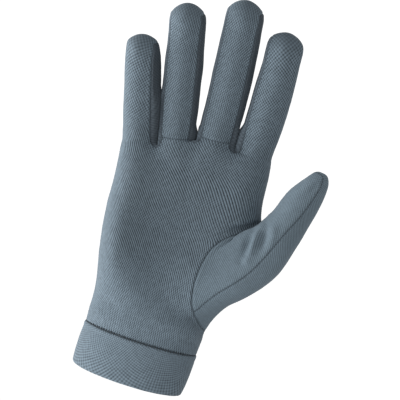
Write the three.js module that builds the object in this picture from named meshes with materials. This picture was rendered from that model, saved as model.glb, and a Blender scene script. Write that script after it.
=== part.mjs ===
// Knitted glove liner for the right hand, as worn: palm, back, set-in finger fronts, side strips between
// the fingers, a set-in thumb and a hemmed cuff. Millimetres. +Z runs from the wrist opening to the
// fingertips, +X is the thumb side and -Y the palm side. The origin is the middle of the wrist opening.
import * as THREE from "three";

// Driving sizes
const palmWidth = 90;
const palmDepth = 30;
const palmLength = 150;
const wristWidth = 71;
const wristDepth = 44;
const cuffHeight = 26;
const hemDip = 2.4;
const thumbLength = 47.2;
const thumbWidth = 23;
const thumbDepth = 20;
const thumbLean = 31.7;
const fingers = {
  little: { length: 67.7, width: 21.6, depth: 17.4, lean: 15.0, bow: 0.7, curl: 0.24, twist: 22 },
  ring: { length: 86.4, width: 22.8, depth: 18.4, lean: 11.7, bow: 0.6, curl: 0.26, twist: 8 },
  middle: { length: 91.3, width: 24.2, depth: 19.0, lean: 5.0, bow: 1.2, curl: 0.24, twist: 8 },
  index: { length: 80.7, width: 23.2, depth: 18.8, lean: 2.0, bow: 1.0, curl: 0.22, twist: 5 },
};

// Cloth
const wall = 1.2;
const hemWall = 2.2;
const hemStep = 0.5;
const seamGap = 0.3;
const cloth = { color: 0x64727d, roughness: 0.9, metalness: 0 };
const sideCloth = { color: 0x363f47, roughness: 0.92, metalness: 0 };

// Shares are of half the palm or wrist width across, of half the depth in depth, and of the hand from the
// top of the cuff to the finger bases in height.

// The line of the finger bases: across, then height and depth in front, then height and depth at the back
const knuckleLine = {
  littleEdge: [-1.0, 0.867, 0.45, 0.859, 0.48],
  little: [-0.815, 0.891, 0.7, 0.871, 0.7],
  ringLittle: [-0.59, 0.911, 0.57, 0.895, 0.6],
  ring: [-0.36, 0.944, 0.77, 0.919, 0.8],
  middleRing: [-0.113, 0.99, 0.59, 0.968, 0.62],
  middle: [0.144, 0.996, 0.8, 0.96, 0.84],
  indexMiddle: [0.405, 0.998, 0.59, 0.976, 0.62],
  index: [0.672, 0.992, 0.77, 0.96, 0.8],
  indexEdge: [0.88, 0.98, 0.5, 0.964, 0.5],
};
const crotchShare = 0.02;

// The two sides of the hand at the finger bases: across, height, depth towards the back
const knuckleSides = { little: [-1.05, 0.859, 0.1], index: [0.947, 0.972, 0.07] };

// Palm sections from the knuckles down to the cuff. The front runs from the little side to its end at the
// index column or the thumb seam, the back to its own end. full is the width that the back curves over.
// wrist says how far the section takes its shares from the wrist instead of the palm.
const palmSections = [
  { wrist: 0, side: [-1.015, 0.742], end: [0.444, 0.847], backEnd: [0.444, 0.835], full: 1.0,
    front: [0.53, 0.93, 0.9, 0.93, 0.93, 0.97, 0.97], back: 0.95 },
  { wrist: 0, side: [-1.0, 0.629], end: [0.567, 0.56], backEnd: [0.878, 0.58], full: 1.02,
    front: [0.53, 0.97, 0.93, 0.83, 0.8, 0.83, 0.87], back: 0.97 },
  { wrist: 0, side: [-0.973, 0.516], end: [0.453, 0.448], backEnd: [0.833, 0.468], full: 1.0,
    front: [0.57, 1.07, 1.0, 0.83, 0.77, 0.8, 0.9], back: 1.0 },
  { wrist: 0, side: [-0.915, 0.379], end: [0.458, 0.323], backEnd: [0.811, 0.339], full: 0.98,
    front: [0.6, 1.13, 1.1, 0.93, 0.83, 0.87, 0.97], back: 1.07 },
  { wrist: 0.5, side: [-0.93, 0.23], end: [0.621, 0.212], backEnd: [0.894, 0.222], full: 1.0,
    front: [0.52, 0.88, 0.97, 0.91, 0.84, 0.8, 0.73], back: 0.97 },
  { wrist: 1, side: [-1.0, 0.125], end: [0.98, 0.124], backEnd: [0.98, 0.124], full: 0.98,
    front: [0.45, 0.75, 0.91, 0.92, 0.8, 0.47, 0.0], back: 0.92 },
  { wrist: 1, side: [-1.0, 0.06], end: [0.99, 0.063], backEnd: [0.99, 0.063], full: 0.99,
    front: [0.434, 0.782, 0.96, 0.965, 0.782, 0.434, 0.0], back: 0.97 },
  { wrist: 1, side: [-0.99, 0.0], end: [0.98, 0.0], backEnd: [0.98, 0.0], full: 0.98,
    front: [0.434, 0.782, 0.975, 0.975, 0.782, 0.434, 0.0], back: 1.0 },
];
// Where the columns of a section lie between its little side and its end, at the palm and at the wrist
const palmSpread = [0, 0.035, 0.16, 0.33, 0.5, 0.66, 0.82, 1];
const wristSpread = [0, 0.049, 0.188, 0.389, 0.611, 0.812, 0.951, 1];

// The index side of the two upper sections, round from front to back: across, height, depth to the back
const indexSide = [
  [[0.7, 0.835, -0.97], [0.911, 0.823, -0.6], [0.982, 0.819, 0.0], [0.911, 0.819, 0.57], [0.7, 0.823, 0.9]],
  [[0.744, 0.621, -0.8], [0.9, 0.655, -0.6], [1.042, 0.717, -0.13], [0.996, 0.673, 0.27], [0.94, 0.629, 0.5]],
];

// Cuff sections below its top seam: height as a share of the cuff, girth as a share of the wrist, and the
// share of the dip that the hem has at the front
const cuffSections = [[0.67, 1.0, 0.2], [0.33, 0.99, 0.6], [0.07, 0.975, 1], [0.0, 0.955, 1]];

// Finger sections: along the finger, width, depth, share of the twist, and the angle of the side seams
const fingerSections = [
  { along: 0.08, width: 0.95, depth: 1.12, turn: 0.3, seam: 50 },
  { along: 0.25, width: 0.985, depth: 1.03, turn: 0.8, seam: 52 },
  { along: 0.45, width: 1.0, depth: 0.98, turn: 1, seam: 52 },
  { along: 0.64, width: 0.99, depth: 0.95, turn: 1, seam: 53 },
  { along: 0.82, width: 0.955, depth: 0.9, turn: 1, seam: 55 },
  { along: 0.935, width: 0.84, depth: 0.74, turn: 1, seam: 62 },
];
const curlPower = 1.4;

// Thumb sections from its seam outwards. inner runs from the crotch to the tip and outer from the foot of
// the seam to the tip, each as a share along and a share of the thumb's width out to the side. lift is the
// middle's depth towards the palm and depth its half thickness, as shares of the thumb's depth. seam is
// the angle of the long seam from the front, and pull how far the section still follows the hole.
const thumbSections = [
  { inner: [0.065, 0.01], outer: [0.19, 0.2], lift: 0.3, depth: 0.65, seam: 6, pull: [0.62, 0.3] },
  { inner: [0.11, 0.03], outer: [0.357, 0.58], lift: 0.45, depth: 0.72, seam: 11, pull: [0.3, 0.12] },
  { inner: [0.18, 0.055], outer: [0.487, 0.67], lift: 0.6, depth: 0.67, seam: 5, pull: [0.1, 0.02] },
  { inner: [0.255, 0.072], outer: [0.612, 0.62], lift: 0.7, depth: 0.6, seam: 4, pull: [0, 0] },
  { inner: [0.427, 0.16], outer: [0.743, 0.55], lift: 0.8, depth: 0.53, seam: 15, pull: [0, 0] },
  { inner: [0.597, 0.216], outer: [0.87, 0.46], lift: 0.9, depth: 0.47, seam: 22, pull: [0, 0] },
  { inner: [0.788, 0.2], outer: [0.955, 0.34], lift: 1.0, depth: 0.36, seam: 24, pull: [0, 0] },
];
const thumbTipShare = 1.05;
const thumbInnerTurn = -100;

// Points as plain vectors
const radians = (degrees) => (degrees * Math.PI) / 180;
const mix = (a, b, t) => a + (b - a) * t;
const add = (a, b, k = 1) => [a[0] + b[0] * k, a[1] + b[1] * k, a[2] + b[2] * k];
const scaled = (a, k) => [a[0] * k, a[1] * k, a[2] * k];
const blend = (a, b, t) => add(scaled(a, 1 - t), b, t);
const cross = (a, b) => [a[1] * b[2] - a[2] * b[1], a[2] * b[0] - a[0] * b[2], a[0] * b[1] - a[1] * b[0]];
const dot = (a, b) => a[0] * b[0] + a[1] * b[1] + a[2] * b[2];
const unit = (a) => scaled(a, 1 / Math.hypot(...a));

// The cage: a coarse net of four-sided faces whose points lie on the outside of the glove
const cage = { points: [], faces: [] };
const point = (p) => cage.points.push(p) - 1;
const face = (panel, ...corners) => cage.faces.push({ panel, corners });
const handHeight = (share) => mix(cuffHeight, palmLength, share);
const handPoint = (across, height, depth, wrist = 0) => point([
  (across * mix(palmWidth, wristWidth, wrist)) / 2,
  (depth * mix(palmDepth, wristDepth, wrist)) / 2,
  handHeight(height),
]);

// Faces between two rings that run the same way round, the upper one nearer the fingertips
function band(lower, upper, panelOf) {
  lower.forEach((start, i) => {
    const next = (i + 1) % lower.length;
    face(panelOf(i), start, lower[next], upper[next], upper[i]);
  });
}

// The first row: a point for every column round the hand at the finger bases, and one in each crotch
function knuckleRow() {
  const names = Object.keys(knuckleLine);
  const front = names.map((name) => {
    const [across, height, depth] = knuckleLine[name];
    return handPoint(across, height, -depth);
  });
  const back = names.map((name) => {
    const [across, , , height, depth] = knuckleLine[name];
    return handPoint(across, height, depth);
  });
  const crotches = ["ringLittle", "middleRing", "indexMiddle"].map((name) => {
    const [across, height] = knuckleLine[name];
    return handPoint(across, height + crotchShare, 0);
  });
  const row = [handPoint(...knuckleSides.little), ...front, handPoint(...knuckleSides.index), ...back.reverse()];
  return { row, crotches };
}

// One section of the palm: eight points from the little side to the end of the front, a gap where the
// index columns or the thumb hole come, and the back from its end to the little side
function palmRow(section, extra) {
  const { wrist, side, end, backEnd, full, front, back } = section;
  const spread = palmSpread.map((share, i) => mix(share, wristSpread[i], wrist));
  const sidePoint = handPoint(side[0], side[1], wrist === 1 ? 0 : 0.1, wrist);
  const frontPoints = spread.slice(1).map((share, i) =>
    handPoint(mix(side[0], end[0], share), mix(side[1], end[1], share), -front[i], wrist));
  const middle = (side[0] + full) / 2;
  const reach = (full - side[0]) / 2;
  const backPoints = spread.slice(1).map((share) => {
    const across = mix(side[0], backEnd[0], share);
    const away = Math.min(Math.abs(across - middle) / reach, 1);
    const depth = back * Math.sqrt(1 - away ** mix(2.6, 2, wrist));
    return handPoint(across, mix(side[1], backEnd[1], share), depth, wrist);
  });
  const closed = wrist === 1;
  if (closed) backPoints[6] = frontPoints[6];
  const between = extra ? extra.map((place) => handPoint(...place)) : Array(5).fill(null);
  return [sidePoint, ...frontPoints, ...between, ...backPoints.reverse()];
}

const hand = knuckleRow();
const rows = [hand.row, ...palmSections.map((section, i) => palmRow(section, indexSide[i]))];
const thumbColumn = 10;
rows.slice(1).forEach((lower, i) => {
  const upper = rows[i];
  lower.forEach((start, column) => {
    const next = (column + 1) % lower.length;
    const corners = [start, lower[next], upper[next], upper[column]];
    if (corners.includes(null) || start === lower[next]) return;
    face(column < thumbColumn ? "palm_panel" : "back_panel", ...corners);
  });
});

// Closes a ring over its end with a net of across by down faces. The net's first corner is the ring's
// point number first, and rise lifts its middle.
function cap(ring, across, down, first, rise, panelOf) {
  const around = (i) => ring[(i + first) % ring.length];
  const at = (i) => cage.points[around(i)];
  const edge = (i, j) => {
    if (j === 0) return i;
    if (i === across) return across + j;
    if (j === down) return across + down + (across - i);
    return i === 0 ? ring.length - j : null;
  };
  const net = Array.from({ length: across + 1 }, (_, i) =>
    Array.from({ length: down + 1 }, (__, j) => {
      const k = edge(i, j);
      if (k !== null) return around(k);
      const [u, v] = [i / across, j / down];
      const sides = add(blend(at(edge(0, j)), at(edge(across, j)), u), blend(at(edge(i, 0)), at(edge(i, down)), v));
      const corners = blend(blend(at(edge(0, 0)), at(edge(across, 0)), u),
        blend(at(edge(0, down)), at(edge(across, down)), u), v);
      const swell = ((1 - (2 * u - 1) ** 2) * (1 - (2 * v - 1) ** 2)) ** 0.5;
      return point(add(add(sides, corners, -1), rise, swell));
    }));
  for (let i = 0; i < across; i += 1) {
    for (let j = 0; j < down; j += 1) {
      face(panelOf(i, j), net[i][j], net[i + 1][j], net[i + 1][j + 1], net[i][j + 1]);
    }
  }
}

// A finger from its base ring, which starts in front and runs by the thumb side. Its side strips are given
// as front and back halves, because the outer sides of the hand have a seam there and no strip.
function finger(size, base, { foot, front, thumbSide, littleSide }) {
  const middle = blend(cage.points[base[0]], cage.points[base[4]], 0.5);
  const lean = radians(size.lean);
  const along = [-Math.sin(lean), 0, Math.cos(lean)];
  const out = [Math.cos(lean), 0, Math.sin(lean)];
  const centre = (t) => {
    const sideways = add(add(middle, along, size.length * t), out, size.bow * 4 * t * (1 - t));
    return add(sideways, [0, -size.curl * size.length * t ** curlPower, 0]);
  };
  const panels = [front, ...thumbSide, "back_panel", "back_panel", ...littleSide, front];
  let ring = base;
  fingerSections.forEach((section, number) => {
    const slope = unit(add(along, [0, -size.curl * curlPower * section.along ** (curlPower - 1), 0]));
    const palmwards = unit(cross(out, slope));
    const angles = [0, section.seam, 90, 180 - section.seam, 180, 180 + section.seam, 270, 360 - section.seam];
    const next = angles.map((angle) => {
      const turn = radians(angle - size.twist * section.turn);
      const sideways = add(centre(section.along), out, (Math.sin(turn) * size.width * section.width) / 2);
      return point(add(sideways, palmwards, (Math.cos(turn) * size.depth * section.depth) / 2));
    });
    band(ring, next, (i) => (number === 0 && panels[i] === front ? foot : panels[i]));
    ring = next;
  });
  const last = fingerSections.at(-1).along;
  cap(ring, 2, 2, 1, add(centre(1), centre(last), -1), (i) => (i === 0 ? front : "back_panel"));
}

const { row, crotches } = hand;
const [ringLittle, middleRing, indexMiddle] = crotches;
const strip = (name) => [`fourchette_${name}`, `fourchette_${name}`];
finger(fingers.little, [row[2], row[3], ringLittle, row[17], row[18], row[19], row[0], row[1]], {
  foot: "palm_panel", front: "palm_panel",
  thumbSide: strip("ring_little"), littleSide: ["back_panel", "palm_panel"],
});
finger(fingers.ring, [row[4], row[5], middleRing, row[15], row[16], row[17], ringLittle, row[3]], {
  foot: "palm_panel", front: "ring_finger_front",
  thumbSide: strip("middle_ring"), littleSide: strip("ring_little"),
});
finger(fingers.middle, [row[6], row[7], indexMiddle, row[13], row[14], row[15], middleRing, row[5]], {
  foot: "palm_panel", front: "middle_finger_front",
  thumbSide: strip("index_middle"), littleSide: strip("middle_ring"),
});
finger(fingers.index, [row[8], row[9], row[10], row[11], row[12], row[13], indexMiddle, row[7]], {
  foot: "palm_panel", front: "palm_panel",
  thumbSide: ["palm_panel", "back_panel"], littleSide: strip("index_middle"),
});

// The thumb, from the hole that the palm and the back leave for it
function thumb() {
  const hole = [
    ...[10, 9, 8, 7].map((column) => rows[2][column]),
    ...[3, 4, 5, 6].map((number) => rows[number][7]),
    ...[5, 4, 3, 2].map((number) => rows[number][13]),
    rows[2][12],
    rows[2][11],
  ];
  const seamColumn = 6;
  const crotch = cage.points[hole[0]];
  const foot = cage.points[hole[7]];
  const lean = radians(thumbLean);
  const tip = [crotch[0] + thumbLength * Math.sin(lean), 0, crotch[2] + thumbLength * Math.cos(lean)];
  const rail = (start, side, [share, bulge]) => {
    const from = [start[0], 0, start[2]];
    const way = add(tip, from, -1);
    const outwards = unit([way[2] * side, 0, -way[0] * side]);
    return add(add(from, way, share), outwards, bulge * thumbWidth);
  };
  const half = thumbDepth / 2;
  let ring = hole;
  thumbSections.forEach((section) => {
    const inner = rail(crotch, -1, section.inner);
    const outer = rail(foot, 1, section.outer);
    const middle = add(blend(inner, outer, 0.5), [0, -section.lift * thumbDepth, 0]);
    const reach = scaled(add(outer, inner, -1), 0.5);
    const next = ring.map((_, i) => {
      const angle = i <= seamColumn
        ? mix(thumbInnerTurn, section.seam, i / seamColumn)
        : mix(section.seam, thumbInnerTurn + 360, (i - seamColumn) / (ring.length - seamColumn));
      const turn = radians(angle);
      const round = add(add(middle, reach, Math.sin(turn)), [0, -Math.cos(turn) * section.depth * half * 2, 0]);
      const pull = i === 0 ? 0 : section.pull[i <= seamColumn ? 0 : 1];
      return point(blend(round, cage.points[hole[i]], pull));
    });
    band(ring, next, (i) => (i < seamColumn ? "thumb_front" : "thumb_back"));
    ring = next;
  });
  const end = ring.reduce((sum, i) => add(sum, cage.points[i], 1 / ring.length), [0, 0, 0]);
  const top = [tip[0], -thumbTipShare * thumbDepth, tip[2]];
  cap(ring, 4, 3, 1, add(top, end, -1), (i, j) => (j === 0 ? "thumb_front" : "thumb_back"));
}
thumb();

// The cuff, from the foot of the palm and the back down to the wrist opening
function cuff() {
  const foot = rows.at(-1);
  const top = foot.filter((_, column) => foot[column] !== null && column !== 13);
  let upper = top;
  cuffSections.forEach(([height, girth, dip]) => {
    const lower = top.map((i) => {
      const [x, y] = cage.points[i];
      return point([x * girth, y * girth, cuffHeight * height + (hemDip * dip * y) / wristDepth]);
    });
    band(lower, upper, () => "cuff");
    upper = lower;
  });
}
cuff();

// The neighbours of each point: the other ends of its edges and the far corners of its faces
function neighbours({ points, faces }) {
  const around = points.map(() => ({ edges: new Map(), far: [] }));
  faces.forEach(({ corners }) => corners.forEach((corner, i) => {
    const { edges, far } = around[corner];
    const next = corners[(i + 1) % 4];
    const last = corners[(i + 3) % 4];
    edges.set(next, (edges.get(next) ?? 0) + 1);
    edges.set(last, (edges.get(last) ?? 0) + 1);
    far.push(corners[(i + 2) % 4]);
  }));
  return around;
}
const sum = (points, list) => list.reduce((total, i) => add(total, points[i]), [0, 0, 0]);
const rimEnds = (edges) => [...edges.keys()].filter((i) => edges.get(i) === 1);

// Where each point of a net ends up on the smooth surface that the net stands for
function settle(points, around) {
  return points.map((p, i) => {
    const { edges, far } = around[i];
    const ends = rimEnds(edges);
    if (ends.length) return scaled(add(sum(points, ends), p, 4), 1 / 6);
    const n = edges.size;
    const near = add(scaled(sum(points, [...edges.keys()]), 4), sum(points, far));
    return scaled(add(near, p, n * n), 1 / (n * (n + 5)));
  });
}

// Moves a net's points out until the smooth surface passes through where they were
function passThrough(net) {
  const around = neighbours(net);
  const wanted = net.points;
  let points = wanted;
  for (let round = 0; round < 12; round += 1) {
    const reached = settle(points, around);
    points = points.map((p, i) => add(add(p, wanted[i]), reached[i], -1));
  }
  return { points, faces: net.faces };
}

// Splits every face of a net in four, by the rule for smooth surfaces of Catmull and Clark
function refine({ points, faces }) {
  const around = neighbours({ points, faces });
  const middles = faces.map(({ corners }) => scaled(sum(points, corners), 1 / 4));
  const key = (a, b) => (a < b ? `${a} ${b}` : `${b} ${a}`);
  const edges = new Map();
  faces.forEach(({ corners }, f) => corners.forEach((a, i) => {
    const b = corners[(i + 1) % 4];
    const edge = edges.get(key(a, b)) ?? { ends: [a, b], faces: [] };
    edge.faces.push(f);
    edges.set(key(a, b), edge);
  }));
  const touching = points.map(() => []);
  faces.forEach(({ corners }, f) => corners.forEach((corner) => touching[corner].push(f)));
  const fresh = points.map((p, i) => {
    const near = around[i].edges;
    const ends = rimEnds(near);
    if (ends.length) return scaled(add(sum(points, ends), p, 6), 1 / 8);
    const n = near.size;
    const faceMean = scaled(sum(middles, touching[i]), 1 / n);
    const edgeMean = scaled(sum(points, [...near.keys()]), 1 / n);
    return scaled(add(add(faceMean, edgeMean), p, n - 2), 1 / n);
  });
  const faceStart = fresh.length;
  fresh.push(...middles);
  edges.forEach((edge) => {
    const ends = sum(points, edge.ends);
    edge.at = fresh.length;
    fresh.push(edge.faces.length === 1
      ? scaled(ends, 1 / 2)
      : scaled(add(ends, sum(middles, edge.faces)), 1 / 4));
  });
  const split = faces.flatMap(({ corners, panel }, f) => corners.map((corner, i) => {
    const after = edges.get(key(corner, corners[(i + 1) % 4])).at;
    const before = edges.get(key(corners[(i + 3) % 4], corner)).at;
    return { panel, corners: [corner, after, faceStart + f, before] };
  }));
  return { points: fresh, faces: split };
}

const fine = refine(passThrough(cage));
const surface = settle(fine.points, neighbours(fine));

// The outward direction at each point of the finished surface
const outward = surface.map(() => [0, 0, 0]);
fine.faces.forEach(({ corners }) => {
  const [a, b, c, d] = corners.map((i) => surface[i]);
  const tilt = cross(add(c, a, -1), add(d, b, -1));
  corners.forEach((i) => {
    outward[i] = add(outward[i], tilt);
  });
});
outward.forEach((direction, i) => {
  outward[i] = unit(direction);
});

// One piece of cloth: its outside and inside, a wall apart, closed round its edge and held back from the
// seams that it shares with other pieces
function panel(name, { thick, step, look }) {
  const faces = fine.faces.filter((f) => f.panel === name);
  const edges = new Map();
  faces.forEach(({ corners }) => corners.forEach((a, i) => {
    const b = corners[(i + 1) % 4];
    edges.set(`${a} ${b}`, [a, b]);
  }));
  const rim = [...edges.values()].filter(([a, b]) => !edges.has(`${b} ${a}`));
  const shared = new Set();
  fine.faces.forEach((f) => {
    if (f.panel !== name) f.corners.forEach((a, i) => shared.add(`${a} ${f.corners[(i + 1) % 4]}`));
  });
  const seamPull = new Map();
  rim.filter(([a, b]) => shared.has(`${b} ${a}`)).forEach(([a, b]) => {
    const run = add(surface[b], surface[a], -1);
    [a, b].forEach((i) => {
      const inwards = unit(cross(outward[i], run));
      seamPull.set(i, [...(seamPull.get(i) ?? []), inwards]);
    });
  });
  const placed = new Map();
  const positions = [];
  faces.forEach(({ corners }) => corners.forEach((i) => {
    if (placed.has(i)) return;
    placed.set(i, placed.size);
    let outer = surface[i];
    const pulls = seamPull.get(i);
    if (pulls) {
      const mean = scaled(pulls.reduce((total, pull) => add(total, pull), [0, 0, 0]), 1 / pulls.length);
      outer = add(outer, mean, seamGap / 2 / Math.max(dot(mean, mean), 0.25));
    }
    positions.push(...add(outer, outward[i], step), ...add(outer, outward[i], step - thick));
  }));
  const outside = (i) => placed.get(i) * 2;
  const inside = (i) => placed.get(i) * 2 + 1;
  const index = [];
  const quad = (a, b, c, d) => index.push(a, b, c, a, c, d);
  faces.forEach(({ corners }) => {
    quad(...corners.map(outside));
    quad(...corners.map(inside).reverse());
  });
  // Both sides of a seam split their edge faces along the same diagonal, so that they stay parallel
  rim.forEach(([a, b]) => {
    if (a < b) quad(outside(b), outside(a), inside(a), inside(b));
    else quad(outside(a), inside(a), inside(b), outside(b));
  });
  const geometry = new THREE.BufferGeometry();
  geometry.setAttribute("position", new THREE.Float32BufferAttribute(positions, 3));
  geometry.setIndex(index);
  geometry.computeVertexNormals();
  const mesh = new THREE.Mesh(geometry, new THREE.MeshStandardMaterial(look));
  mesh.name = name;
  return mesh;
}

const group = new THREE.Group();
[...new Set(fine.faces.map((f) => f.panel))].forEach((name) => {
  const hem = name === "cuff";
  const look = name.startsWith("fourchette") ? sideCloth : cloth;
  group.add(panel(name, { thick: hem ? hemWall : wall, step: hem ? hemStep : 0, look }));
});

export default group;
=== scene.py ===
"""A knitted glove liner for the right hand, as worn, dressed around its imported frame.

The glove is one smooth surface that a coarse net of four-sided faces stands for. The net is made from the
same sections as the solids, refined, unwrapped flat as the cloth was cut, pressed into its seams and folds,
and then parted into its panels, each with an inside and a turned edge. Metres: +Z runs from the wrist opening
to the fingertips, +X is the thumb side and -Y the palm side.
"""
import math

import bpy
import numpy as np
from mathutils import Matrix, Vector, kdtree, noise


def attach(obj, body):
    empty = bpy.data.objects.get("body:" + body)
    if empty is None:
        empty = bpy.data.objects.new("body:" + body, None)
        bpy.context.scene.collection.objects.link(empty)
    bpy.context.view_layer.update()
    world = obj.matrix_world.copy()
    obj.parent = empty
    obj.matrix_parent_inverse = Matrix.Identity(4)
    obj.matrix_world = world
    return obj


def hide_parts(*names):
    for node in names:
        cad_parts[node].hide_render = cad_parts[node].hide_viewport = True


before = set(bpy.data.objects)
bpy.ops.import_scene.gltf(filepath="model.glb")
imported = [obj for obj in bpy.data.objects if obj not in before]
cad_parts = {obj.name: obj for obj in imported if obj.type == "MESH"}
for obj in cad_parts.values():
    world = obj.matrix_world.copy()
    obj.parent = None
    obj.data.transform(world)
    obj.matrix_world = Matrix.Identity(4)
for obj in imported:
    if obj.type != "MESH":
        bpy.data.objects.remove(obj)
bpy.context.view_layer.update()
MM = 0.001

# Driving sizes
PALM_WIDTH = 0.090
PALM_DEPTH = 0.030
PALM_LENGTH = 0.150
WRIST_WIDTH = 0.071
WRIST_DEPTH = 0.044
CUFF_HEIGHT = 0.026
HEM_DIP = 0.0024
THUMB_LENGTH = 0.0472
THUMB_WIDTH = 0.023
THUMB_DEPTH = 0.020
THUMB_LEAN = 31.7
FINGERS = {
    "little": dict(length=0.0677, width=0.0216, depth=0.0174, lean=15.0, bow=0.0007, curl=0.24, twist=22),
    "ring": dict(length=0.0864, width=0.0228, depth=0.0184, lean=11.7, bow=0.0006, curl=0.26, twist=8),
    "middle": dict(length=0.0913, width=0.0242, depth=0.0190, lean=5.0, bow=0.0012, curl=0.24, twist=8),
    "index": dict(length=0.0807, width=0.0232, depth=0.0188, lean=2.0, bow=0.0010, curl=0.22, twist=5),
}
WALL = 0.0012
HEM_WALL = 0.0022
HEM_STEP = 0.0005

# The line of the finger bases: across, height and depth in front, height and depth behind, as shares of the
# palm's half width, length and half depth
KNUCKLE_LINE = {
    "littleEdge": (-1.0, 0.867, 0.45, 0.859, 0.48),
    "little": (-0.815, 0.891, 0.7, 0.871, 0.7),
    "ringLittle": (-0.59, 0.911, 0.57, 0.895, 0.6),
    "ring": (-0.36, 0.944, 0.77, 0.919, 0.8),
    "middleRing": (-0.113, 0.99, 0.59, 0.968, 0.62),
    "middle": (0.144, 0.996, 0.8, 0.96, 0.84),
    "indexMiddle": (0.405, 0.998, 0.59, 0.976, 0.62),
    "index": (0.672, 0.992, 0.77, 0.96, 0.8),
    "indexEdge": (0.88, 0.98, 0.5, 0.964, 0.5),
}
CROTCH_SHARE = 0.02
KNUCKLE_SIDES = [(-1.05, 0.859, 0.1), (0.947, 0.972, 0.07)]

# Palm sections from the knuckles down to the cuff, as the solids have them
PALM_SECTIONS = [
    dict(wrist=0, side=(-1.015, 0.742), end=(0.444, 0.847), back_end=(0.444, 0.835), full=1.0,
         front=(0.53, 0.93, 0.9, 0.93, 0.93, 0.97, 0.97), back=0.95),
    dict(wrist=0, side=(-1.0, 0.629), end=(0.567, 0.56), back_end=(0.878, 0.58), full=1.02,
         front=(0.53, 0.97, 0.93, 0.83, 0.8, 0.83, 0.87), back=0.97),
    dict(wrist=0, side=(-0.973, 0.516), end=(0.453, 0.448), back_end=(0.833, 0.468), full=1.0,
         front=(0.57, 1.07, 1.0, 0.83, 0.77, 0.8, 0.9), back=1.0),
    dict(wrist=0, side=(-0.915, 0.379), end=(0.458, 0.323), back_end=(0.811, 0.339), full=0.98,
         front=(0.6, 1.13, 1.1, 0.93, 0.83, 0.87, 0.97), back=1.07),
    dict(wrist=0.5, side=(-0.93, 0.23), end=(0.621, 0.212), back_end=(0.894, 0.222), full=1.0,
         front=(0.52, 0.88, 0.97, 0.91, 0.84, 0.8, 0.73), back=0.97),
    dict(wrist=1, side=(-1.0, 0.125), end=(0.98, 0.124), full=0.98,
         front=(0.45, 0.75, 0.91, 0.92, 0.8, 0.47, 0.0), back=0.92),
    dict(wrist=1, side=(-1.0, 0.06), end=(0.99, 0.063), full=0.99,
         front=(0.434, 0.782, 0.96, 0.965, 0.782, 0.434, 0.0), back=0.97),
    dict(wrist=1, side=(-0.99, 0.0), end=(0.98, 0.0), full=0.98,
         front=(0.434, 0.782, 0.975, 0.975, 0.782, 0.434, 0.0), back=1.0),
]
# How square the back's sections are in the palm and at the wrist, where 2 is an ellipse
BACK_ROUNDNESS = (2.6, 2)
PALM_SPREAD = (0, 0.035, 0.16, 0.33, 0.5, 0.66, 0.82, 1)
WRIST_SPREAD = (0, 0.049, 0.188, 0.389, 0.611, 0.812, 0.951, 1)
INDEX_SIDE = [
    [(0.7, 0.835, -0.97), (0.911, 0.823, -0.6), (0.982, 0.819, 0.0), (0.911, 0.819, 0.57), (0.7, 0.823, 0.9)],
    [(0.744, 0.621, -0.8), (0.9, 0.655, -0.6), (1.042, 0.717, -0.13), (0.996, 0.673, 0.27),
     (0.94, 0.629, 0.5)],
]
CUFF_SECTIONS = [(0.67, 1.0, 0.2), (0.33, 0.99, 0.6), (0.07, 0.975, 1), (0.0, 0.955, 1)]
# How far the cuff's mouth is shifted across, which the solids don't have
MOUTH_SHIFT = -0.0010
# Finger sections from the base up: place, width, depth and twist as shares of the finger's, and the angle
# from the front at which the seams lie. The last two are a little slimmer than the solids' are.
FINGER_SECTIONS = [
    (0.08, 0.95, 1.12, 0.3, 50),
    (0.25, 0.985, 1.03, 0.8, 52),
    (0.45, 1.0, 0.98, 1, 52),
    (0.64, 0.99, 0.95, 1, 53),
    (0.82, 0.945, 0.9, 1, 56),
    (0.935, 0.825, 0.74, 1, 65),
]
CURL_POWER = 1.4
# Thumb sections from the base up: place and bulge of the inner edge and of the outer one, how far in front
# the middle lies, half the depth, the seam's angle, and how strongly the hole pulls the front and the back
THUMB_SECTIONS = [
    ((0.065, 0.01), (0.19, 0.2), 0.3, 0.65, 6, (0.62, 0.3)),
    ((0.11, 0.03), (0.357, 0.58), 0.45, 0.72, 11, (0.3, 0.12)),
    ((0.18, 0.055), (0.487, 0.67), 0.6, 0.67, 5, (0.1, 0.02)),
    ((0.255, 0.072), (0.612, 0.62), 0.7, 0.6, 4, (0, 0)),
    ((0.427, 0.16), (0.743, 0.55), 0.8, 0.53, 15, (0, 0)),
    ((0.597, 0.216), (0.87, 0.46), 0.9, 0.47, 22, (0, 0)),
    ((0.788, 0.2), (0.955, 0.34), 1.0, 0.36, 24, (0, 0)),
]
THUMB_TIP_SHARE = 1.05
THUMB_INNER_TURN = -100

PANELS = ["palm_panel", "back_panel", "middle_finger_front", "ring_finger_front", "fourchette_index_middle",
          "fourchette_middle_ring", "fourchette_ring_little", "thumb_front", "thumb_back", "cuff"]
PALM, THUMB_FRONT, THUMB_BACK, CUFF = (
    PANELS.index(n) for n in ("palm_panel", "thumb_front", "thumb_back", "cuff"))

# The cuff is slit along the column of edges at its little side: how far from the middle plane that column may
# lie, how far out at least, as a share of the wrist, and how upright its edges are
SLIT = dict(beside=0.00035, out=0.3, rise=0.0002)

# Lengths from here on are in millimetres, except where metres are named

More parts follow.
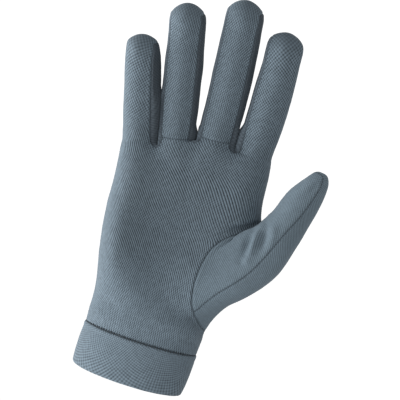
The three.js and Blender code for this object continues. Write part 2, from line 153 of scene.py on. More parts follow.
# How each kind of seam sits in the cloth: depth and half width of its valley, height and place of the ridge
# that the turned edge makes beside it, how far the stitches pucker it, and how dark the painted shade in its
# groove is
SEAMS = {
    "finger": (0.42, 0.42, 0.28, 1.3, 0.08, 0.15),
    "base": (0.35, 0.45, 0.12, 1.5, 0.04, 0.25),
    "side": (0.30, 0.45, 0.08, 1.5, 0.05, 0.25),
    "tip": (0.15, 0.45, 0.0, 1.5, 0.03, 0.2),
    "thenar": (0.50, 0.45, 0.20, 1.5, 0.05, 0.3),
    "thumb": (0.25, 0.40, 0.08, 1.4, 0.06, 0.2),
    "cuff": (0.55, 0.45, 0.18, 1.6, 0.06, 0.25),
}

# What all seams share: the half width of their ridge, pucker and line of painted shade, the length of a
# pucker, and how strongly and within what reach the rows of points are drawn to a seam
SEAM_SPREAD = dict(ridge=0.9, pucker=2.2, line=0.35, pucker_length=1.4, gather=0.6, gather_reach=1.1)
SEAMS_LOST_AT_TIPS = 0.9

# Where neighbouring fingers lie against each other above their crotch: the crotch in the front view, the
# slant of the gap from upright, up to where they touch and from where they don't, and how far the cloth gives
CONTACTS = {
    "fourchette_ring_little": ((-26.3, 139.5), 13.3, (23.0, 37.0), 2.6),
    "fourchette_middle_ring": ((-4.9, 149.3), 8.4, (3.0, 11.0), 2.2),
    "fourchette_index_middle": ((18.2, 150.3), 3.5, (8.5, 19.0), 3.2),
}
# How far from a seam and from the crotch the cloth starts to give, and the gap left between two fingers
CONTACT_EDGES = dict(seam=1.4, crotch=0.3, gap=0.04)

# The seam round the ball of the thumb in the front view, from the wrist up to the thumb's crotch, how far the
# cloth beside it moves along, and how far in front of the middle plane that starts, and over what depth
THENAR_SEAM = dict(
    path=[(34.8, 41.4), (29.6, 46.4), (25.0, 52.3), (22.0, 58.6), (20.4, 66.0), (20.2, 74.1), (20.9, 82.2),
          (23.3, 90.9), (27.2, 97.5), (32.8, 102.6), (38.5, 106.2), (43.0, 109.2), (46.9, 114.9)],
    beside=5.0, starts=1.0, fades=3.0)

# Folds and hollows in the front view, by panel: how far each stands out, its half width, and its path from
# point to point
FOLDS = {
    THUMB_FRONT: [
        (2.5, 2.0, [(47.0, 115.0), (46.4, 104.0), (45.4, 92.0)]),
        (-2.2, 2.3, [(44.0, 110.0), (42.6, 101.0), (42.0, 91.0)]),
        (-1.5, 2.0, [(50.0, 116.5), (51.0, 108.0), (50.8, 98.5)]),
        (0.9, 2.3, [(54.0, 121.0), (55.4, 112.0), (56.0, 102.0)]),
        (-0.5, 2.2, [(71.5, 151.0), (69.5, 146.0), (66.5, 141.5)]),
    ],
    THUMB_BACK: [
        (-0.7, 1.6, [(37.2, 52.6), (33.5, 50.0), (29.0, 49.0)]),
    ],
    PALM: [
        (-2.4, 2.0, [(27.0, 101.0), (34.0, 107.5), (41.0, 111.0), (48.5, 114.5)]),
        (1.0, 2.2, [(30.0, 108.5), (37.0, 113.5), (46.0, 116.5)]),
        (-0.8, 4.5, [(-25.0, 133.5), (-17.0, 131.5), (-6.0, 134.5)]),
        (-0.5, 4.5, [(-2.0, 138.0), (8.0, 139.0), (17.0, 138.5)]),
        (-0.6, 3.5, [(-36.0, 40.5), (-27.0, 42.5), (-17.0, 46.0)]),
        (0.4, 3.5, [(-36.0, 33.5), (-27.0, 34.0), (-15.0, 36.0)]),
    ],
}

# How folds fade: with how far the cloth faces the front, within what reach of a seam, and towards their ends
FOLD_FADES = dict(facing=1.5, seam=0.9, ends=0.12)

# How the rows of the palm's cloth fan out: in metres, the height they fan about and how far up and down, and
# how strongly
ROW_FAN = dict(middle=0.085, reach=0.045, strength=-4.6)

# How much the second set of rows shows: in the palm, how much more towards wrist and fingers, from which
# heights and how far down (or up, where negative), how far back the front reaches, and behind that
CROSSING = dict(palm=0.12, more=0.33, wrist=(78, 38), fingers=(132, -30), front=4, back=0.45)

# The slight unevenness of worn cloth: the size of its waves and their height
UNEVENNESS = [(16, 0.32), (6, 0.10)]

# Distances from a fingertip within which a change is full and beyond which there is none
TIP_FADES = dict(seams=(8, 16), smooth=(4, 16), painted_shading=(2, 14))

# The cloths: colour as linear light, distance between the rows of loops, the rows' angle from the grain, and
# how strongly they show
CLOTH = (0.122, 0.160, 0.192)
CLOTHS = {
    "knit": dict(colour=CLOTH, stitch=1.25, slant=35.0, contrast=0.7),
    # side_knit's colour is the knit's made darker, as painted shade on the side strips between the fingers
    "side_knit": dict(colour=(0.096, 0.121, 0.145), stitch=1.25, slant=35.0, contrast=0.25),
    # thumb_knit's colour is the knit's made lighter, as painted light on the thumb
    "thumb_knit": dict(colour=(0.140, 0.186, 0.222), stitch=1.05, slant=30.0, contrast=0.38),
    "cuff_knit": dict(colour=CLOTH, stitch=1.4, slant=45.0, contrast=0.48),
}
THREAD = (0.030, 0.040, 0.050)

# What all cloths share: how far the rows wander, how uneven and mottled the loops are, how fine these changes
# are, how much less the rows show at the fingertips, and how far they stand out
KNIT = dict(wander=4.0, wander_scale=0.03, crossing_scale=0.07, loops=0.35, mottle=0.08, mottle_scale=0.35,
            lost_at_tips=0.6, height=0.12)

# Painted shade and light in the cloth's colour: how much darker the fingertips and the palm are painted as
# shade, how much lighter the front of the wrist is painted as light, at which heights and over how far, the
# painted tones of the side strips, light where they face the little finger's side and shade where they face
# the thumb's side, and how quickly one passes into the other
PAINTED_LIGHT_AND_SHADE = dict(tips=0.26, palm=0.1, palm_at=(115, 32), wrist=0.36, wrist_below=(80, 30),
             strip_light=1.4, strip_dark=0.6, strip_turn=1.5)

# Threads across a seam: how far apart, half their length, how thick, and how high their ends lie
STITCHES = {
    "cuff": dict(spacing=1.7, half=1.35, thick=0.5, lift=0.75),
    "thumb": dict(spacing=1.7, half=0.6, thick=0.25, lift=0.15),
}

# The light: how bright the room is and how bright it looks, and where the one broad light comes from, how
# narrow and how bright it is. The floor: half its width and its height, in metres, and its sides.
ROOM_LIGHT = 0.58
BACKDROP = 1.1
BROAD_LIGHT = {"from": (-0.93, -0.03, -0.37), "narrow": 7.0, "strength": 6.8}
FLOOR = dict(half=6.0, level=-0.25, sides=96)

# The photograph's camera: the point it looks at and from how far, in metres, how high it stands and how far
# it rolls, in degrees, and its lens
CAMERA = dict(at=(0.008, 0, 0.1162), distance=1.3, rise=5, roll=18, lens=195, sensor=36)


def mix(a, b, t):
    return a + (b - a) * t


def vector(x, y, z):
    return np.array((x, y, z), float)


def unit(v):
    return v / np.linalg.norm(v)


def eased(t):
    """A share from 0 to 1 that starts and ends gently."""
    return t * t * (3 - 2 * t)


def link(name, data):
    """A new object that holds the data, placed in the scene."""
    piece = bpy.data.objects.new(name, data)
    bpy.context.scene.collection.objects.link(piece)
    return piece


class Net:
    """A coarse net of four-sided faces, each of one panel."""

    def __init__(self):
        self.points = []
        self.faces = []
        self.panels = []
        self.tips = []

    def point(self, p):
        self.points.append(np.asarray(p, float))
        return len(self.points) - 1

    def face(self, panel, *corners):
        self.faces.append(corners)
        self.panels.append(PANELS.index(panel))

    def band(self, lower, upper, panel_of):
        for i, start in enumerate(lower):
            after = (i + 1) % len(lower)
            self.face(panel_of(i), start, lower[after], upper[after], upper[i])

    def cap(self, ring, across, down, first, rise, panel_of):
        """Closes a ring over its end with a net of across by down faces, its middle lifted by rise."""
        def around(i):
            return ring[(i + first) % len(ring)]

        def at(i):
            return self.points[around(i)]

        def edge(i, j):
            if j == 0:
                return i
            if i == across:
                return across + j
            if j == down:
                return across + down + (across - i)
            return len(ring) - j if i == 0 else None

        def inner(i, j):
            k = edge(i, j)
            if k is not None:
                return around(k)
            u, v = i / across, j / down
            sides = mix(at(edge(0, j)), at(edge(across, j)), u) + mix(at(edge(i, 0)), at(edge(i, down)), v)
            top = mix(at(edge(0, 0)), at(edge(across, 0)), u)
            bottom = mix(at(edge(0, down)), at(edge(across, down)), u)
            swell = math.sqrt((1 - (2 * u - 1) ** 2) * (1 - (2 * v - 1) ** 2))
            return self.point(sides - mix(top, bottom, v) + rise * swell)

        net = [[inner(i, j) for j in range(down + 1)] for i in range(across + 1)]
        for i in range(across):
            for j in range(down):
                self.face(panel_of(i, j), net[i][j], net[i + 1][j], net[i + 1][j + 1], net[i][j + 1])


def hand_place(across, height, depth, wrist=0):
    """A point of the hand from its shares: across, up from the cuff, and towards the back."""
    return vector(across * mix(PALM_WIDTH, WRIST_WIDTH, wrist) / 2,
                  depth * mix(PALM_DEPTH, WRIST_DEPTH, wrist) / 2,
                  mix(CUFF_HEIGHT, PALM_LENGTH, height))


def knuckle_row(net):
    front = [net.point(hand_place(a, h, -d)) for a, h, d, _, _ in KNUCKLE_LINE.values()]
    back = [net.point(hand_place(a, h, d)) for a, _, _, h, d in KNUCKLE_LINE.values()]
    crotches = [net.point(hand_place(KNUCKLE_LINE[n][0], KNUCKLE_LINE[n][1] + CROTCH_SHARE, 0))
                for n in ("ringLittle", "middleRing", "indexMiddle")]
    little, index = (net.point(hand_place(*place)) for place in KNUCKLE_SIDES)
    return [little, *front, index, *back[::-1]], crotches


def palm_row(net, section, extra):
    wrist, side, end = section["wrist"], section["side"], section["end"]
    back_end = section.get("back_end", end)
    spread = [mix(a, b, wrist) for a, b in zip(PALM_SPREAD, WRIST_SPREAD)]
    first = net.point(hand_place(side[0], side[1], 0 if wrist == 1 else 0.1, wrist))
    front = [net.point(hand_place(mix(side[0], end[0], s), mix(side[1], end[1], s), -depth, wrist))
             for s, depth in zip(spread[1:], section["front"])]
    middle = (side[0] + section["full"]) / 2
    reach = (section["full"] - side[0]) / 2
    back = []
    closed = wrist == 1
    for s in spread[1:-1] if closed else spread[1:]:
        across = mix(side[0], back_end[0], s)
        away = min(abs(across - middle) / reach, 1)
        depth = section["back"] * math.sqrt(1 - away ** mix(*BACK_ROUNDNESS, wrist))
        back.append(net.point(hand_place(across, mix(side[1], back_end[1], s), depth, wrist)))
    if closed:
        back.append(front[-1])
    between = [net.point(hand_place(*place)) for place in extra] if extra else [None] * 5
    return [first, *front, *between, *back[::-1]]


def hand(net):
    """The palm and back, down to the cuff, and the rows of points that the rest is joined to."""
    top, crotches = knuckle_row(net)
    rows = [top] + [palm_row(net, s, INDEX_SIDE[i] if i < 2 else None) for i, s in enumerate(PALM_SECTIONS)]
    thumb_column = 10
    for lower, upper in zip(rows[1:], rows):
        for column, start in enumerate(lower):
            after = (column + 1) % len(lower)
            corners = (start, lower[after], upper[after], upper[column])
            if None not in corners and start != lower[after]:
                net.face("palm_panel" if column < thumb_column else "back_panel", *corners)
    return rows, crotches


def finger(net, size, base, front, thumb_side, little_side):
    """A finger from its base ring, which starts in front and runs round by the thumb side. The lowest band of
    its front belongs to the palm."""
    middle = (net.points[base[0]] + net.points[base[4]]) / 2
    lean = math.radians(size["lean"])
    along = vector(-math.sin(lean), 0, math.cos(lean))
    out = vector(math.cos(lean), 0, math.sin(lean))

    def centre(t):
        forward = vector(0, -size["curl"] * size["length"] * t ** CURL_POWER, 0)
        return middle + along * size["length"] * t + out * size["bow"] * 4 * t * (1 - t) + forward

    panels = [front, *thumb_side, "back_panel", "back_panel", *little_side, front]
    ring = base
    for number, (share, width, depth, twist, seam) in enumerate(FINGER_SECTIONS):
        slope = unit(along + vector(0, -size["curl"] * CURL_POWER * share ** (CURL_POWER - 1), 0))
        palmwards = unit(np.cross(out, slope))
        upper = []
        for angle in (0, seam, 90, 180 - seam, 180, 180 + seam, 270, 360 - seam):
            turn = math.radians(angle - size["twist"] * twist)
            sideways = out * math.sin(turn) * size["width"] * width / 2
            forward = palmwards * math.cos(turn) * size["depth"] * depth / 2
            upper.append(net.point(centre(share) + sideways + forward))
        net.band(ring, upper, lambda i: "palm_panel" if number == 0 and panels[i] == front else panels[i])
        ring = upper
    net.tips.append(centre(1))
    rise = centre(1) - centre(share)
    net.cap(ring, 2, 2, 1, rise, lambda i, j: front if i == 0 else "back_panel")


def four_fingers(net, row, crotches):
    ring_little, middle_ring, index_middle = crotches

    def strip(name):
        return (f"fourchette_{name}",) * 2

    finger(net, FINGERS["little"], [row[2], row[3], ring_little, row[17], row[18], row[19], row[0], row[1]],
           "palm_panel", strip("ring_little"), ("back_panel", "palm_panel"))
    finger(net, FINGERS["ring"],
           [row[4], row[5], middle_ring, row[15], row[16], row[17], ring_little, row[3]],
           "ring_finger_front", strip("middle_ring"), strip("ring_little"))
    finger(net, FINGERS["middle"],
           [row[6], row[7], index_middle, row[13], row[14], row[15], middle_ring, row[5]],
           "middle_finger_front", strip("index_middle"), strip("middle_ring"))
    finger(net, FINGERS["index"], [row[8], row[9], row[10], row[11], row[12], row[13], index_middle, row[7]],
           "palm_panel", ("palm_panel", "back_panel"), strip("index_middle"))


def thumb(net, rows):
    """The thumb, from the hole that the palm and the back leave for it."""
    hole = [rows[2][column] for column in (10, 9, 8, 7)]
    hole += [rows[number][7] for number in (3, 4, 5, 6)]
    hole += [rows[number][13] for number in (5, 4, 3, 2)]
    hole += [rows[2][12], rows[2][11]]
    seam_column = 6
    crotch, foot = net.points[hole[0]], net.points[hole[7]]
    lean = math.radians(THUMB_LEAN)
    tip = vector(crotch[0] + THUMB_LENGTH * math.sin(lean), 0, crotch[2] + THUMB_LENGTH * math.cos(lean))

    def rail(start, side, share, bulge):
        origin = vector(start[0], 0, start[2])
        way = tip - origin
        outwards = unit(vector(way[2] * side, 0, -way[0] * side))
        return origin + way * share + outwards * bulge * THUMB_WIDTH

    ring = hole
    for inside, outside, lift, depth, seam, pulls in THUMB_SECTIONS:
        inner, outer = rail(crotch, -1, *inside), rail(foot, 1, *outside)
        middle = (inner + outer) / 2 - vector(0, lift * THUMB_DEPTH, 0)
        reach = (outer - inner) / 2
        upper = []
        for i in range(len(ring)):
            if i <= seam_column:
                angle = mix(THUMB_INNER_TURN, seam, i / seam_column)
            else:
                share = (i - seam_column) / (len(ring) - seam_column)
                angle = mix(seam, THUMB_INNER_TURN + 360, share)
            turn = math.radians(angle)
            lifted = vector(0, -math.cos(turn) * depth * THUMB_DEPTH, 0)
            pull = 0 if i == 0 else pulls[0 if i <= seam_column else 1]
            upper.append(net.point(mix(middle + reach * math.sin(turn) + lifted, net.points[hole[i]], pull)))
        net.band(ring, upper, lambda i: "thumb_front" if i < seam_column else "thumb_back")
        ring = upper
    end = sum(net.points[i] for i in ring) / len(ring)
    top = vector(tip[0], -THUMB_TIP_SHARE * THUMB_DEPTH, tip[2])
    net.cap(ring, 4, 3, 1, top - end, lambda i, j: "thumb_front" if j == 0 else "thumb_back")


def cuff(net, foot):
    """The cuff, from the foot of the palm and the back down to the wrist opening."""
    # Where the palm is closed, column 13 repeats column 7
    top = [i for column, i in enumerate(foot) if i is not None and column != 13]
    upper = top
    for height, girth, dip in CUFF_SECTIONS:
        lower = []
        for i in top:
            x, y, _ = net.points[i]
            across = x * girth + MOUTH_SHIFT * (1 - height)
            up = CUFF_HEIGHT * height + HEM_DIP * dip * y / WRIST_DEPTH
            lower.append(net.point((across, y * girth, up)))
        net.band(lower, upper, lambda i: "cuff")
        upper = lower


def glove_net():
    net = Net()
    rows, crotches = hand(net)
    four_fingers(net, rows[0], crotches)
    thumb(net, rows)
    cuff(net, rows[-1])
    return net


def pass_through(points, faces):
    """Moves a net's points out until the smooth surface passes through where they were."""
    edges = [{} for _ in points]
    far = [[] for _ in points]
    for corners in faces:
        for i, corner in enumerate(corners):
            for other in (corners[(i + 1) % 4], corners[i - 1]):
                edges[corner][other] = edges[corner].get(other, 0) + 1
            far[corner].append(corners[(i + 2) % 4])
    weights = np.zeros((len(points), len(points)))
    for i, near in enumerate(edges):
        ends = [j for j, count in near.items() if count == 1]
        if ends:
            weights[i, i] = 4 / 6
            weights[i, ends] = 1 / 6
            continue
        n = len(near)
        whole = n * (n + 5)
        weights[i, i] = n * n / whole
        weights[i, list(near)] += 4 / whole
        for j in far[i]:
            weights[i, j] += 1 / whole
    wanted = np.array(points)
    moved = wanted
    for _ in range(12):
        moved = moved + wanted - weights @ moved
    return moved


def refined(mesh, levels, limit):
    """A mesh split smoothly, by the rule for smooth surfaces of Catmull and Clark."""
    holder = link("net", mesh)
    smooth = holder.modifiers.new("smooth", "SUBSURF")
    smooth.levels = levels
    smooth.render_levels = levels
    smooth.use_limit_surface = limit
    smooth.quality = 5
    smooth.boundary_smooth = "ALL"
    smooth.uv_smooth = "NONE"
    evaluated = holder.evaluated_get(bpy.context.evaluated_depsgraph_get())
    fine = bpy.data.meshes.new_from_object(evaluated)
    bpy.data.objects.remove(holder)
    return fine


def read_values(items, key, width, kind=np.float32):
    """What each item of a mesh holds under a key, as one flat row of values."""
    values = np.empty(len(items) * width, kind)
    items.foreach_get(key, values)
    return values


def read_faces(mesh):
    corners = read_values(mesh.loops, "vertex_index", 1, np.int32)
    return corners.reshape(-1, 4), read_values(mesh.polygons, "material_index", 1, np.int32)


def read_points(mesh):
    return read_values(mesh.vertices, "co", 3).reshape(-1, 3).astype(float)


def edge_table(faces):
    """Each edge once as (low end, high end), and for each the faces on it, -1 where there is only one."""
    a = faces.ravel()
    b = np.roll(faces, -1, axis=1).ravel()
    ends = np.stack((np.minimum(a, b), np.maximum(a, b)), 1)
    owner = np.repeat(np.arange(len(faces)), 4)
    order = np.lexsort((ends[:, 1], ends[:, 0]))
    ends, owner = ends[order], owner[order]
    first = np.ones(len(ends), bool)
    first[1:] = (ends[1:] != ends[:-1]).any(1)
    starts = np.flatnonzero(first)
    second = np.full(len(starts), -1)
    has_two = np.append(starts[1:], len(ends)) - starts == 2
    second[has_two] = owner[starts[has_two] + 1]
    return ends[starts], np.stack((owner[starts], second), 1)


def unwrap(mesh):
    """Lays each panel flat, as its cloth was cut, with the cuff slit at the little side."""
    faces, panel = read_faces(mesh)
    points = read_points(mesh)
    ends, owners = edge_table(faces)
    seams = (owners[:, 1] >= 0) & (panel[owners[:, 0]] != panel[owners[:, 1]])
    middle = points[ends].mean(1)
    in_cuff = (panel[owners] == CUFF).all(1)
    upright = np.abs(points[ends[:, 0], 2] - points[ends[:, 1], 2]) > SLIT["rise"]
    at_side = (middle[:, 0] < -SLIT["out"] * WRIST_WIDTH) & (np.abs(middle[:, 1]) < SLIT["beside"])
    seams |= in_cuff & upright & at_side
    marks = {tuple(e) for e in ends[seams].tolist()}
    flags = [tuple(sorted(e.vertices)) in marks for e in mesh.edges]
    mesh.edges.foreach_set("use_seam", flags)
    mesh.uv_layers.new(name="cloth")
    holder = link("flat", mesh)
    bpy.context.view_layer.objects.active = holder
    holder.select_set(True)
    bpy.ops.object.mode_set(mode="EDIT")
    bpy.ops.mesh.select_all(action="SELECT")
    bpy.ops.uv.unwrap(method="ANGLE_BASED", margin=0.001)
    bpy.ops.object.mode_set(mode="OBJECT")
    bpy.data.objects.remove(holder)


def read_uv(mesh):
    return read_values(mesh.uv_layers["cloth"].uv, "vector", 2).reshape(-1, 4, 2).astype(float)


def to_real_size(points, faces, panel, uv):
    """Turns and scales each panel's flat pattern, to metres and with the grain of the cloth upright."""
    thumb_way = math.radians(THUMB_LEAN)
    p = points[faces]
    along, across = p[:, 1] - p[:, 0], p[:, 3] - p[:, 0]
    flat_along, flat_across = uv[:, 1] - uv[:, 0], uv[:, 3] - uv[:, 0]
    for number in range(len(PANELS)):
        mine = panel == number
        lean = thumb_way if number in (THUMB_FRONT, THUMB_BACK) else 0
        grain = vector(math.sin(lean), 0, math.cos(lean))
        a, b = along[mine], across[mine]
        aa, ab, bb = (a * a).sum(1), (a * b).sum(1), (b * b).sum(1)
        ga, gb = a @ grain, b @ grain
        whole = np.maximum(aa * bb - ab * ab, 1e-18)
        s, t = (ga * bb - gb * ab) / whole, (gb * aa - ga * ab) / whole
        u, v = flat_along[mine], flat_across[mine]
        way = u * s[:, None] + v * t[:, None]
        area = np.linalg.norm(np.cross(a, b), axis=1)
        flat_area = np.abs(u[:, 0] * v[:, 1] - u[:, 1] * v[:, 0])
        mean = (way * area[:, None]).sum(0)
        turn = math.atan2(mean[0], mean[1])
        scale = math.sqrt(area.sum() / flat_area.sum())
        c, n = math.cos(turn) * scale, math.sin(turn) * scale
        flat = uv[mine]
        uv[mine] = np.stack((flat[..., 0] * c - flat[..., 1] * n, flat[..., 0] * n + flat[..., 1] * c), -1)
    return uv


def fan_rows(points, faces, panel, uv):
    """Leans the rows of the palm's cloth less and less towards the thumb, as they are stretched there."""
    palm = panel == PALM
    at = points[faces[palm]]
    height = np.clip(at[..., 2] - ROW_FAN["middle"], -ROW_FAN["reach"], ROW_FAN["reach"])
    uv[palm, :, 0] += ROW_FAN["strength"] * at[..., 0] * height
    return uv


def below(points, start, over):
    """0 above a start height, 1 below the stretch under it, or the other way up where that is negative."""
    return np.clip((start - points[:, 2] / MM) / over, 0, 1)


def crossing(points):
    """How much the second set of rows shows at each point: little in the palm, half on wrist and fingers."""
    ends = sum(eased(below(points, *CROSSING[end])) for end in ("wrist", "fingers"))
    front = CROSSING["palm"] + CROSSING["more"] * ends
    return np.where(points[:, 1] < CROSSING["front"] * MM, front, CROSSING["back"])


def outward(points, faces):
    """The outward direction at each point."""
    a, b, c, d = (points[faces[:, i]] for i in range(4))
    tilt = np.cross(c - a, d - b)
    total = np.zeros_like(points)
    for i in range(4):
        np.add.at(total, faces[:, i], tilt)
    return total / np.linalg.norm(total, axis=1)[:, None]


def seam_kind(a, b):
    names = {PANELS[a], PANELS[b]}
    if "cuff" in names:
        return "cuff"
    if names == {"thumb_front", "thumb_back"}:
        return "thumb"
    if names & {"thumb_front", "thumb_back"}:
        return "thenar"
    if any(n.startswith("fourchette") for n in names):
        return "finger"
    if names == {"palm_panel", "back_panel"}:
        return "side"
    return "tip" if "back_panel" in names else "base"


def seam_edges(faces, panel):
    """Each edge between two panels: its two ends and the kind of its seam."""
    ends, owners = edge_table(faces)
    split = (owners[:, 1] >= 0) & (panel[owners[:, 0]] != panel[owners[:, 1]])
    return [(a, b, seam_kind(panel[f], panel[g]))
            for (a, b), (f, g) in zip(ends[split].tolist(), owners[split].tolist())]


def seam_points(edges):
    """For each point that lies on a seam, the kind of the seam."""
    kinds = {}
    for a, b, kind in edges:
        kinds.setdefault(a, kind)
        kinds.setdefault(b, kind)
    return kinds


def nearest_seam(points, on_seam):
    """For each point, the nearest point on a seam and the way from there, in millimetres."""
    tree = kdtree.KDTree(len(on_seam))
    for i in on_seam:
        tree.insert(points[i], i)
    tree.balance()
    nearest = np.array([tree.find(p)[1] for p in points])
    return nearest, np.linalg.norm(points - points[nearest], axis=1) / MM


def gather_to_seams(points, nearest, away):
    """Draws the rows of points beside a seam closer to it, where the cloth bends most."""
    kept = 1 - SEAM_SPREAD["gather"] * np.exp(-((away / SEAM_SPREAD["gather_reach"]) ** 2))
    return points[nearest] + (points - points[nearest]) * kept[:, None], away * kept


def seam_relief(points, kinds, nearest, away):
    """How far the seams move each point along its outward direction, and how dark the painted shade in their
    grooves makes it.
    """
    names = list(SEAMS)
    kind = np.zeros(len(points), int)
    wave = np.zeros(len(points))
    for i, name in kinds.items():
        kind[i] = names.index(name)
        wave[i] = noise.noise(Vector(points[i]) / (SEAM_SPREAD["pucker_length"] * MM))
    depth, width, ridge, at, pucker, dark = np.array(list(SEAMS.values()))[kind[nearest]].T
    valley = np.exp(-((away / width) ** 2))
    crest = np.exp(-(((away - at) / SEAM_SPREAD["ridge"]) ** 2))
    waves = 2 * pucker * wave[nearest] * np.exp(-((away / SEAM_SPREAD["pucker"]) ** 2))
    # The dark line beside each seam is painted shade in its groove
    line = np.exp(-((away / SEAM_SPREAD["line"]) ** 2))
    return (ridge * crest - depth * valley + waves) * MM, dark * line


def near_tips(points, tips, fade):
    """1 at the fingertips and 0 further off, by the named distances at which it is full and none."""
    full, none = TIP_FADES[fade]
    away = np.min([np.linalg.norm(points - tip, axis=1) for tip in tips], axis=0) / MM
    return np.clip((none - away) / (none - full), 0, 1)


def painted_cloth_shading(points, normals, tips, dark):
    """How light the cloth is painted at each point: painted shade in the seams' grooves, at the fingertips
    and across the middle of the palm, and painted light on the front of the wrist.
    """
    low = below(points, *PAINTED_LIGHT_AND_SHADE["wrist_below"])
    height, spread = PAINTED_LIGHT_AND_SHADE["palm_at"]
    middle = np.exp(-(((points[:, 2] / MM - height) / spread) ** 2))
    front = np.clip(-normals[:, 1], 0, 1) ** 4
    tips_and_seams = (1 - dark) * (1 - PAINTED_LIGHT_AND_SHADE["tips"] * near_tips(points, tips, "painted_shading"))
    return tips_and_seams * (1 + (PAINTED_LIGHT_AND_SHADE["wrist"] * low - PAINTED_LIGHT_AND_SHADE["palm"] * middle) * front)


def painted_strip_shading(normals):
    """How light the side strips are painted at each point: painted light where they face the little finger's
    side, and painted shade where they face the thumb's side.
    """
    turned = np.clip(0.5 + PAINTED_LIGHT_AND_SHADE["strip_turn"] * normals[:, 0], 0, 1)
    return mix(PAINTED_LIGHT_AND_SHADE["strip_light"], PAINTED_LIGHT_AND_SHADE["strip_dark"], turned)


def along_path(path, steps=24):
    """A smooth curve through the points of a path."""
    p = np.array([path[0], *path, path[-1]], float)
    t = np.linspace(0, 1, steps, endpoint=False)[:, None]
    runs = []
    for a, b, c, d in zip(p, p[1:], p[2:], p[3:]):
        runs.append(0.5 * (2 * b + (c - a) * t + (2 * a - 5 * b + 4 * c - d) * t ** 2
                           + (3 * b - a - 3 * c + d) * t ** 3))
    return np.concatenate(runs)


def straighten_thenar(points, kinds, nearest, away):
    """Slides the seam round the ball of the thumb onto its smooth path, with the cloth beside it."""
    curve = along_path(THENAR_SEAM["path"]) * MM
    slide = np.zeros_like(points)
    for i, kind in kinds.items():
        in_front = -points[i, 1] / MM - THENAR_SEAM["starts"]
        if kind == "thenar" and in_front > 0:
            spot = points[i, (0, 2),]
            gap = curve[np.argmin(((curve - spot) ** 2).sum(1))] - spot
            slide[i, 0], slide[i, 2] = gap * min(in_front / THENAR_SEAM["fades"], 1)
    follow = np.exp(-((away / THENAR_SEAM["beside"]) ** 2))
    return points + slide[nearest] * follow[:, None]


def close_crotches(points, panel_of_point, away):
    """Lays neighbouring fingers against each other for a stretch above their crotch."""
    moved = points.copy()
    for name, ((x, z), lean, (low, high), most) in CONTACTS.items():
        slant = math.radians(lean)
        up = vector(-math.sin(slant), 0, math.cos(slant))
        across = vector(math.cos(slant), 0, math.sin(slant))
        from_crotch = points - vector(x, 0, z) * MM
        height, side = from_crotch @ up / MM, from_crotch @ across / MM
        t = np.clip((height - low) / (high - low), 0, 1)
        give = most * (1 - eased(t))
        give *= 1 - np.exp(-((away / CONTACT_EDGES["seam"]) ** 2))
        give *= np.clip(height / CONTACT_EDGES["crotch"], 0, 1) * (panel_of_point == PANELS.index(name))
        nearer = np.maximum(np.abs(side) - give, np.minimum(np.abs(side), CONTACT_EDGES["gap"]))
        moved += ((np.sign(side) * nearer - side) * MM)[:, None] * across
    return moved


def away_from_path(x, z, path):
    """Distance of each (x, z) from a path of straight runs, and its place along it from 0 to 1."""
    best = np.full(len(x), np.inf)
    place = np.zeros(len(x))
    runs = len(path) - 1
    for i in range(runs):
        (x0, z0), (x1, z1) = path[i], path[i + 1]
        dx, dz = x1 - x0, z1 - z0
        t = np.clip(((x - x0) * dx + (z - z0) * dz) / (dx * dx + dz * dz), 0, 1)
        away = np.hypot(x - x0 - t * dx, z - z0 - t * dz)
        nearer = away < best
        best[nearer] = away[nearer]
        place[nearer] = (i + t[nearer]) / runs
    return best, place


def fold_relief(points, normals, panel_of_point, away_from_seam):
    """How far the folds and hollows of the front move each point. They fade out at the seams."""
    x, z = points[:, 0] / MM, points[:, 2] / MM
    facing = np.clip(-normals[:, 1] * FOLD_FADES["facing"], 0, 1)
    facing *= 1 - np.exp(-((away_from_seam / FOLD_FADES["seam"]) ** 2))
    ends = FOLD_FADES["ends"]
    rise = np.zeros(len(points))
    for panel, folds in FOLDS.items():
        mine = panel_of_point == panel
        for height, width, path in folds:
            away, place = away_from_path(x, z, path)
            fade = np.sin(np.pi * np.clip(place, ends, 1 - ends))
            rise += mine * facing * fade * height * MM * np.exp(-((away / width) ** 2))
    return rise


def soft_relief(points):
    """The slight unevenness of cloth that is worn."""
    def height_at(p):
        return sum(noise.noise(Vector(p) / (size * MM)) * height for size, height in UNEVENNESS) * MM

    return np.array([height_at(p) for p in points])


def glove_surface():
    """The whole outside of the glove: points, faces, panel of each face, flat pattern and fingertips."""
    net = glove_net()
    coarse = bpy.data.meshes.new("net")
    coarse.from_pydata([tuple(p) for p in pass_through(net.points, net.faces)], [], net.faces)
    coarse.polygons.foreach_set("material_index", net.panels)
    first = refined(coarse, 2, False)
    unwrap(first)
    fine = refined(first, 2, True)
    points = read_points(fine)
    faces, panel = read_faces(fine)
    uv = fan_rows(points, faces, panel, to_real_size(points, faces, panel, read_uv(fine)))
    return points, faces, panel, uv, net.tips


def rounded_edge(away, thick):
    """How far the outside and the inside of a turned edge draw in, by the distance from the edge."""
    t = np.clip(1 - away / (thick / 2), 0, 1)
    return 0.96 * thick / 2 * (1 - np.sqrt(1 - t * t))


